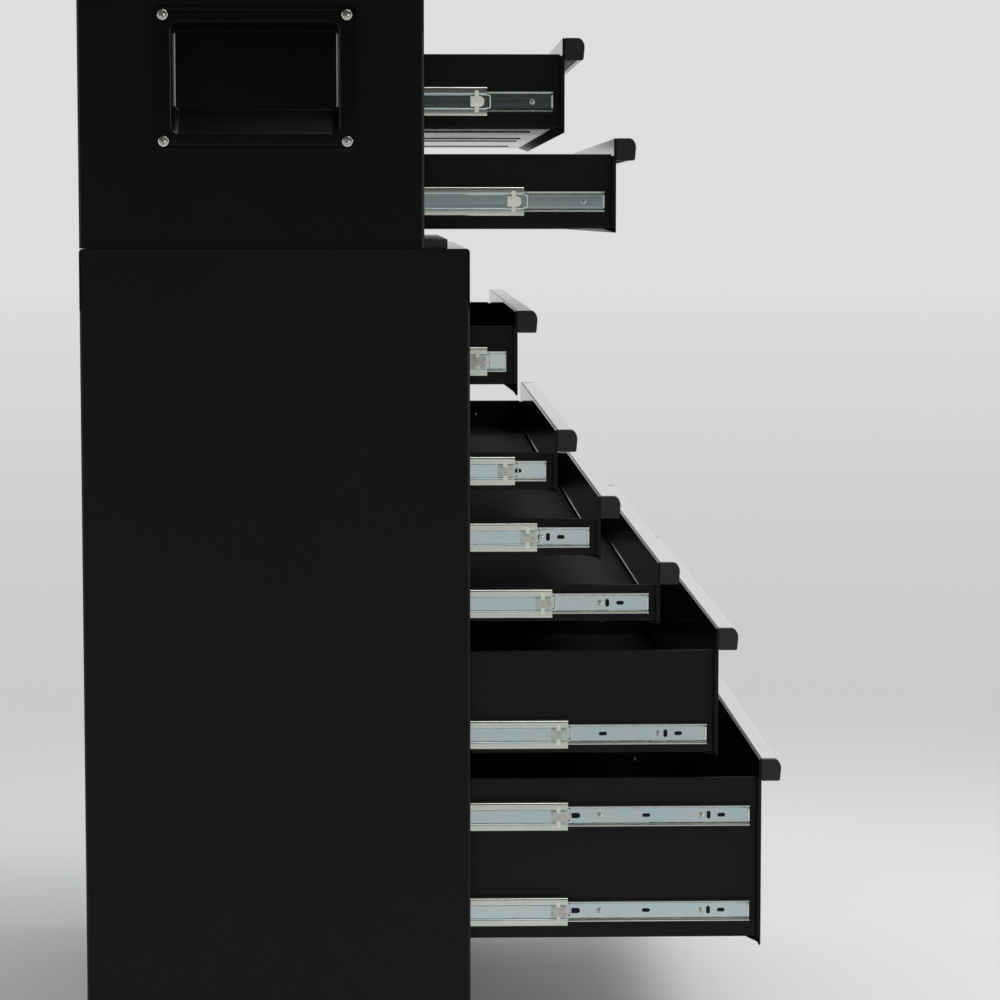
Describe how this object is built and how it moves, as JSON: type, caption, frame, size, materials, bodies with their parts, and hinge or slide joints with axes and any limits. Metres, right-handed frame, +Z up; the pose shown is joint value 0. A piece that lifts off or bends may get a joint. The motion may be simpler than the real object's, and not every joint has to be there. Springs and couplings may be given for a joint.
{
  "type": "tool chest and rolling cabinet",
  "caption": "Black sheet-steel tool chest with a hinged lid on a wide rolling cabinet, full-width drawers on ball-bearing slides standing open in steps, on casters.",
  "frame": {"origin": "on the floor, under the middle of the whole as it stands with its drawers open", "axes": "+Z up, the drawers open towards -Y, +X to the right of someone who faces the drawers"},
  "size_m": [1.168, 0.8484, 1.485],
  "materials": {
    "cabinet_coat": "satin black powder coat",
    "chest_coat": "satin black powder coat",
    "drawer_coat": "semi-gloss black powder coat",
    "zinc_plate": "bright zinc plating with a faint yellow edge",
    "rack_steel": "galvanised",
    "caster_zinc": "zinc plated pressings",
    "pull_alloy": "satin anodised",
    "cap_plastic": "fine-grained charcoal",
    "latch_plastic": "bone white, slightly translucent",
    "mat_rubber": "ribbed matt rubber",
    "tyre": "moulded polyurethane",
    "wheel_hub": "moulded grey nylon",
    "lock_chrome": "polished",
    "pedal_plastic": "moulded red nylon"
  },
  "bodies": {
    "root": {"cabinet_shell": "cabinet_coat", "cabinet_base": "cabinet_coat", "cabinet_top_mat": "mat_rubber", "chest_shell": "chest_coat", "lid_hinge_pin": "zinc_plate", "side_grip_left": "chest_coat", "cabinet_slide_rack_left": "rack_steel", "chest_slide_rack_left": "rack_steel", "side_grip_right": "chest_coat", "cabinet_slide_rack_right": "rack_steel", "chest_slide_rack_right": "rack_steel", "rigid_caster_front_bracket": "caster_zinc", "swivel_caster_front_plate": "caster_zinc", "rigid_caster_rear_bracket": "caster_zinc", "swivel_caster_rear_plate": "caster_zinc"},
    "lid": {"chest_lid": "chest_coat"},
    "cabinet_lock": {"cabinet_lock_plug": "lock_chrome"},
    "chest_lock": {"chest_lock_plug": "lock_chrome"},
    "chest_drawer_upper": {"chest_drawer_upper": "drawer_coat", "chest_drawer_upper_pull": "pull_alloy"},
    "chest_drawer_upper_carriages": {"chest_drawer_upper_carriage_left": "zinc_plate", "chest_drawer_upper_carriage_right": "zinc_plate"},
    "chest_drawer_lower": {"chest_drawer_lower": "drawer_coat", "chest_drawer_lower_pull": "pull_alloy"},
    "chest_drawer_lower_carriages": {"chest_drawer_lower_carriage_left": "zinc_plate", "chest_drawer_lower_carriage_right": "zinc_plate"},
    "cabinet_drawer_1": {"cabinet_drawer_1": "drawer_coat", "cabinet_drawer_1_pull": "pull_alloy"},
    "cabinet_drawer_1_carriages": {"cabinet_drawer_1_carriage_left": "zinc_plate", "cabinet_drawer_1_carriage_right": "zinc_plate"},
    "cabinet_drawer_2": {"cabinet_drawer_2": "drawer_coat", "cabinet_drawer_2_pull": "pull_alloy"},
    "cabinet_drawer_2_carriages": {"cabinet_drawer_2_carriage_left": "zinc_plate", "cabinet_drawer_2_carriage_right": "zinc_plate"},
    "cabinet_drawer_3": {"cabinet_drawer_3": "drawer_coat", "cabinet_drawer_3_pull": "pull_alloy"},
    "cabinet_drawer_3_carriages": {"cabinet_drawer_3_carriage_left": "zinc_plate", "cabinet_drawer_3_carriage_right": "zinc_plate"},
    "cabinet_drawer_4": {"cabinet_drawer_4": "drawer_coat", "cabinet_drawer_4_pull": "pull_alloy"},
    "cabinet_drawer_4_carriages": {"cabinet_drawer_4_carriage_left": "zinc_plate", "cabinet_drawer_4_carriage_right": "zinc_plate"},
    "cabinet_drawer_5": {"cabinet_drawer_5": "drawer_coat", "cabinet_drawer_5_pull": "pull_alloy"},
    "cabinet_drawer_5_carriages": {"cabinet_drawer_5_carriage_left": "zinc_plate", "cabinet_drawer_5_carriage_right": "zinc_plate"},
    "cabinet_drawer_6": {"cabinet_drawer_6": "drawer_coat", "cabinet_drawer_6_pull": "pull_alloy"},
    "cabinet_drawer_6_carriages": {"cabinet_drawer_6_carriage_left_low": "zinc_plate", "cabinet_drawer_6_carriage_left_high": "zinc_plate", "cabinet_drawer_6_carriage_right_low": "zinc_plate", "cabinet_drawer_6_carriage_right_high": "zinc_plate"},
    "rigid_caster_front_wheel": {"rigid_caster_front_wheel": "tyre"},
    "swivel_caster_front_fork": {"swivel_caster_front_fork": "caster_zinc"},
    "swivel_caster_front_wheel": {"swivel_caster_front_wheel": "tyre"},
    "swivel_caster_front_brake_pedal": {"swivel_caster_front_brake_pedal": "pedal_plastic"},
    "rigid_caster_rear_wheel": {"rigid_caster_rear_wheel": "tyre"},
    "swivel_caster_rear_fork": {"swivel_caster_rear_fork": "caster_zinc"},
    "swivel_caster_rear_wheel": {"swivel_caster_rear_wheel": "tyre"},
    "swivel_caster_rear_brake_pedal": {"swivel_caster_rear_brake_pedal": "pedal_plastic"}
  },
  "joints": [
    {"name": "chest_drawer_upper_slide", "type": "slide", "parent": "root", "child": "chest_drawer_upper", "axis": [0, -1, 0], "range_m": [-0.168, 0.188]},
    {"name": "chest_drawer_upper_carriage_slide", "type": "slide", "parent": "root", "child": "chest_drawer_upper_carriages", "axis": [0, -1, 0], "range_m": [-0.0924, 0.1034]},
    {"name": "chest_drawer_lower_slide", "type": "slide", "parent": "root", "child": "chest_drawer_lower", "axis": [0, -1, 0], "range_m": [-0.23, 0.126]},
    {"name": "chest_drawer_lower_carriage_slide", "type": "slide", "parent": "root", "child": "chest_drawer_lower_carriages", "axis": [0, -1, 0], "range_m": [-0.13662, 0.07484]},
    {"name": "cabinet_drawer_1_slide", "type": "slide", "parent": "root", "child": "cabinet_drawer_1", "axis": [0, -1, 0], "range_m": [-0.0573, 0.2987]},
    {"name": "cabinet_drawer_1_carriage_slide", "type": "slide", "parent": "root", "child": "cabinet_drawer_1_carriages", "axis": [0, -1, 0], "range_m": [-0.03805, 0.19834]},
    {"name": "cabinet_drawer_2_slide", "type": "slide", "parent": "root", "child": "cabinet_drawer_2", "axis": [0, -1, 0], "range_m": [-0.1057, 0.2503]},
    {"name": "cabinet_drawer_2_carriage_slide", "type": "slide", "parent": "root", "child": "cabinet_drawer_2_carriages", "axis": [0, -1, 0], "range_m": [-0.07135, 0.16895]},
    {"name": "cabinet_drawer_3_slide", "type": "slide", "parent": "root", "child": "cabinet_drawer_3", "axis": [0, -1, 0], "range_m": [-0.158, 0.198]},
    {"name": "cabinet_drawer_3_carriage_slide", "type": "slide", "parent": "root", "child": "cabinet_drawer_3_carriages", "axis": [0, -1, 0], "range_m": [-0.09828, 0.12316]},
    {"name": "cabinet_drawer_4_slide", "type": "slide", "parent": "root", "child": "cabinet_drawer_4", "axis": [0, -1, 0], "range_m": [-0.23, 0.126]},
    {"name": "cabinet_drawer_4_carriage_slide", "type": "slide", "parent": "root", "child": "cabinet_drawer_4_carriages", "axis": [0, -1, 0], "range_m": [-0.11661, 0.06388]},
    {"name": "cabinet_drawer_5_slide", "type": "slide", "parent": "root", "child": "cabinet_drawer_5", "axis": [0, -1, 0], "range_m": [-0.3014, 0.0546]},
    {"name": "cabinet_drawer_5_carriage_slide", "type": "slide", "parent": "root", "child": "cabinet_drawer_5_carriages", "axis": [0, -1, 0], "range_m": [-0.13593, 0.02463]},
    {"name": "cabinet_drawer_6_slide", "type": "slide", "parent": "root", "child": "cabinet_drawer_6", "axis": [0, -1, 0], "range_m": [-0.3545, 0.0015]},
    {"name": "cabinet_drawer_6_carriage_slide", "type": "slide", "parent": "root", "child": "cabinet_drawer_6_carriages", "axis": [0, -1, 0], "range_m": [-0.13599, 0.00058]},
    {"name": "lid_hinge", "type": "hinge", "parent": "root", "child": "lid", "pos_m": [0, 0.42096, 1.44345], "axis": [-1, 0, 0], "range_deg": [0, 85]},
    {"name": "cabinet_lock_turn", "type": "hinge", "parent": "root", "child": "cabinet_lock", "pos_m": [0, -0.04554, 1.0386], "axis": [0, 1, 0], "range_deg": [0, 90]},
    {"name": "chest_lock_turn", "type": "hinge", "parent": "root", "child": "chest_lock", "pos_m": [0, 0.00846, 1.38515], "axis": [0, 1, 0], "range_deg": [0, 90]},
    {"name": "rigid_caster_front_roll", "type": "hinge", "parent": "root", "child": "rigid_caster_front_wheel", "pos_m": [-0.509, 0.01646, 0.06253], "axis": [0, 1, 0], "continuous": true},
    {"name": "swivel_caster_front_swivel", "type": "hinge", "parent": "root", "child": "swivel_caster_front_fork", "pos_m": [0.509, 0.01646, 0.141], "axis": [0, 0, 1], "continuous": true},
    {"name": "swivel_caster_front_roll", "type": "hinge", "parent": "swivel_caster_front_fork", "child": "swivel_caster_front_wheel", "pos_m": [0.474, 0.01646, 0.06253], "axis": [0, 1, 0], "continuous": true},
    {"name": "swivel_caster_front_brake", "type": "hinge", "parent": "swivel_caster_front_fork", "child": "swivel_caster_front_brake_pedal", "pos_m": [0.438, 0.01646, 0.131], "axis": [0, -1, 0], "range_deg": [0, 16]},
    {"name": "rigid_caster_rear_roll", "type": "hinge", "parent": "root", "child": "rigid_caster_rear_wheel", "pos_m": [-0.509, 0.35546, 0.06253], "axis": [0, 1, 0], "continuous": true},
    {"name": "swivel_caster_rear_swivel", "type": "hinge", "parent": "root", "child": "swivel_caster_rear_fork", "pos_m": [0.509, 0.35546, 0.141], "axis": [0, 0, 1], "continuous": true},
    {"name": "swivel_caster_rear_roll", "type": "hinge", "parent": "swivel_caster_rear_fork", "child": "swivel_caster_rear_wheel", "pos_m": [0.474, 0.35546, 0.06253], "axis": [0, 1, 0], "continuous": true},
    {"name": "swivel_caster_rear_brake", "type": "hinge", "parent": "swivel_caster_rear_fork", "child": "swivel_caster_rear_brake_pedal", "pos_m": [0.438, 0.35546, 0.131], "axis": [0, -1, 0], "range_deg": [0, 16]}
  ],
  "couplings": [
    {"joint": "chest_drawer_upper_carriage_slide", "follows": "chest_drawer_upper_slide", "ratio": 0.55},
    {"joint": "chest_drawer_lower_carriage_slide", "follows": "chest_drawer_lower_slide", "ratio": 0.594},
    {"joint": "cabinet_drawer_1_carriage_slide", "follows": "cabinet_drawer_1_slide", "ratio": 0.664},
    {"joint": "cabinet_drawer_2_carriage_slide", "follows": "cabinet_drawer_2_slide", "ratio": 0.675},
    {"joint": "cabinet_drawer_3_carriage_slide", "follows": "cabinet_drawer_3_slide", "ratio": 0.622},
    {"joint": "cabinet_drawer_4_carriage_slide", "follows": "cabinet_drawer_4_slide", "ratio": 0.507},
    {"joint": "cabinet_drawer_5_carriage_slide", "follows": "cabinet_drawer_5_slide", "ratio": 0.451},
    {"joint": "cabinet_drawer_6_carriage_slide", "follows": "cabinet_drawer_6_slide", "ratio": 0.3836}
  ]
}
